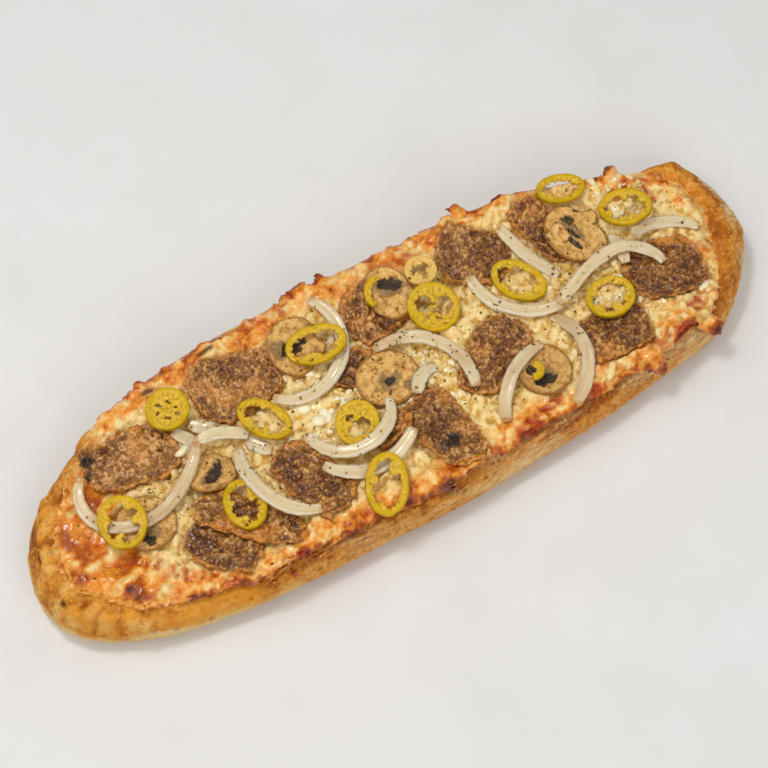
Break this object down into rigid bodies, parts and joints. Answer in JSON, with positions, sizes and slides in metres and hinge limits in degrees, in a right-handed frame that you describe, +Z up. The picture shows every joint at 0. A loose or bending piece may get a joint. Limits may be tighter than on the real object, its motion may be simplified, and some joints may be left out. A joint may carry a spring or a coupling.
{
  "type": "kebab pizza roll",
  "caption": "Long boat of baked bread, open at the top, covered in sauce and melted cheese, with kebab slices, mushroom, onion strips and pepper rings.",
  "frame": {"origin": "centre of the bounding box at the flat underside", "axes": "+Z up out of the topping, +X along the roll towards the end with the bare folded corner at its far side, +Y towards that side"},
  "size_m": [0.3296, 0.113, 0.0361],
  "materials": {
    "bread": "baked tan crust, dusted with flour",
    "sauce": "cooked tomato sauce, wet",
    "cheese": "melted cheese, cream to golden brown, slightly oily",
    "kebab": "grilled ground meat, grained, browner edges",
    "mushroom": "cut mushroom, pale beige with a brown rim and dark gills",
    "onion": "softened onion, cream and translucent",
    "pepper": "mild green pepper, yellow-green, wet"
  },
  "bodies": {
    "root": {"bread": "bread", "sauce": "sauce", "cheese": "cheese", "kebab_01": "kebab", "kebab_02": "kebab", "kebab_03": "kebab", "kebab_04": "kebab", "kebab_05": "kebab", "kebab_06": "kebab", "kebab_07": "kebab", "kebab_08": "kebab", "kebab_09": "kebab", "kebab_10": "kebab", "kebab_11": "kebab", "kebab_12": "kebab", "kebab_13": "kebab", "kebab_14": "kebab", "mushroom_01": "mushroom", "mushroom_02": "mushroom", "mushroom_03": "mushroom", "mushroom_04": "mushroom", "mushroom_05": "mushroom", "mushroom_06": "mushroom", "mushroom_07": "mushroom", "onion_01": "onion", "onion_02": "onion", "onion_03": "onion", "onion_04": "onion", "onion_05": "onion", "onion_06": "onion", "onion_07": "onion", "onion_08": "onion", "onion_09": "onion", "onion_10": "onion", "onion_11": "onion", "onion_12": "onion", "onion_13": "onion", "onion_14": "onion", "onion_15": "onion", "onion_16": "onion", "onion_17": "onion", "onion_18": "onion", "pepper_01": "pepper", "pepper_02": "pepper", "pepper_03": "pepper", "pepper_04": "pepper", "pepper_05": "pepper", "pepper_06": "pepper", "pepper_07": "pepper", "pepper_08": "pepper", "pepper_09": "pepper", "pepper_10": "pepper", "pepper_11": "pepper", "pepper_12": "pepper", "pepper_13": "pepper", "pepper_14": "pepper", "pepper_15": "pepper"}
  },
  "joints": []
}
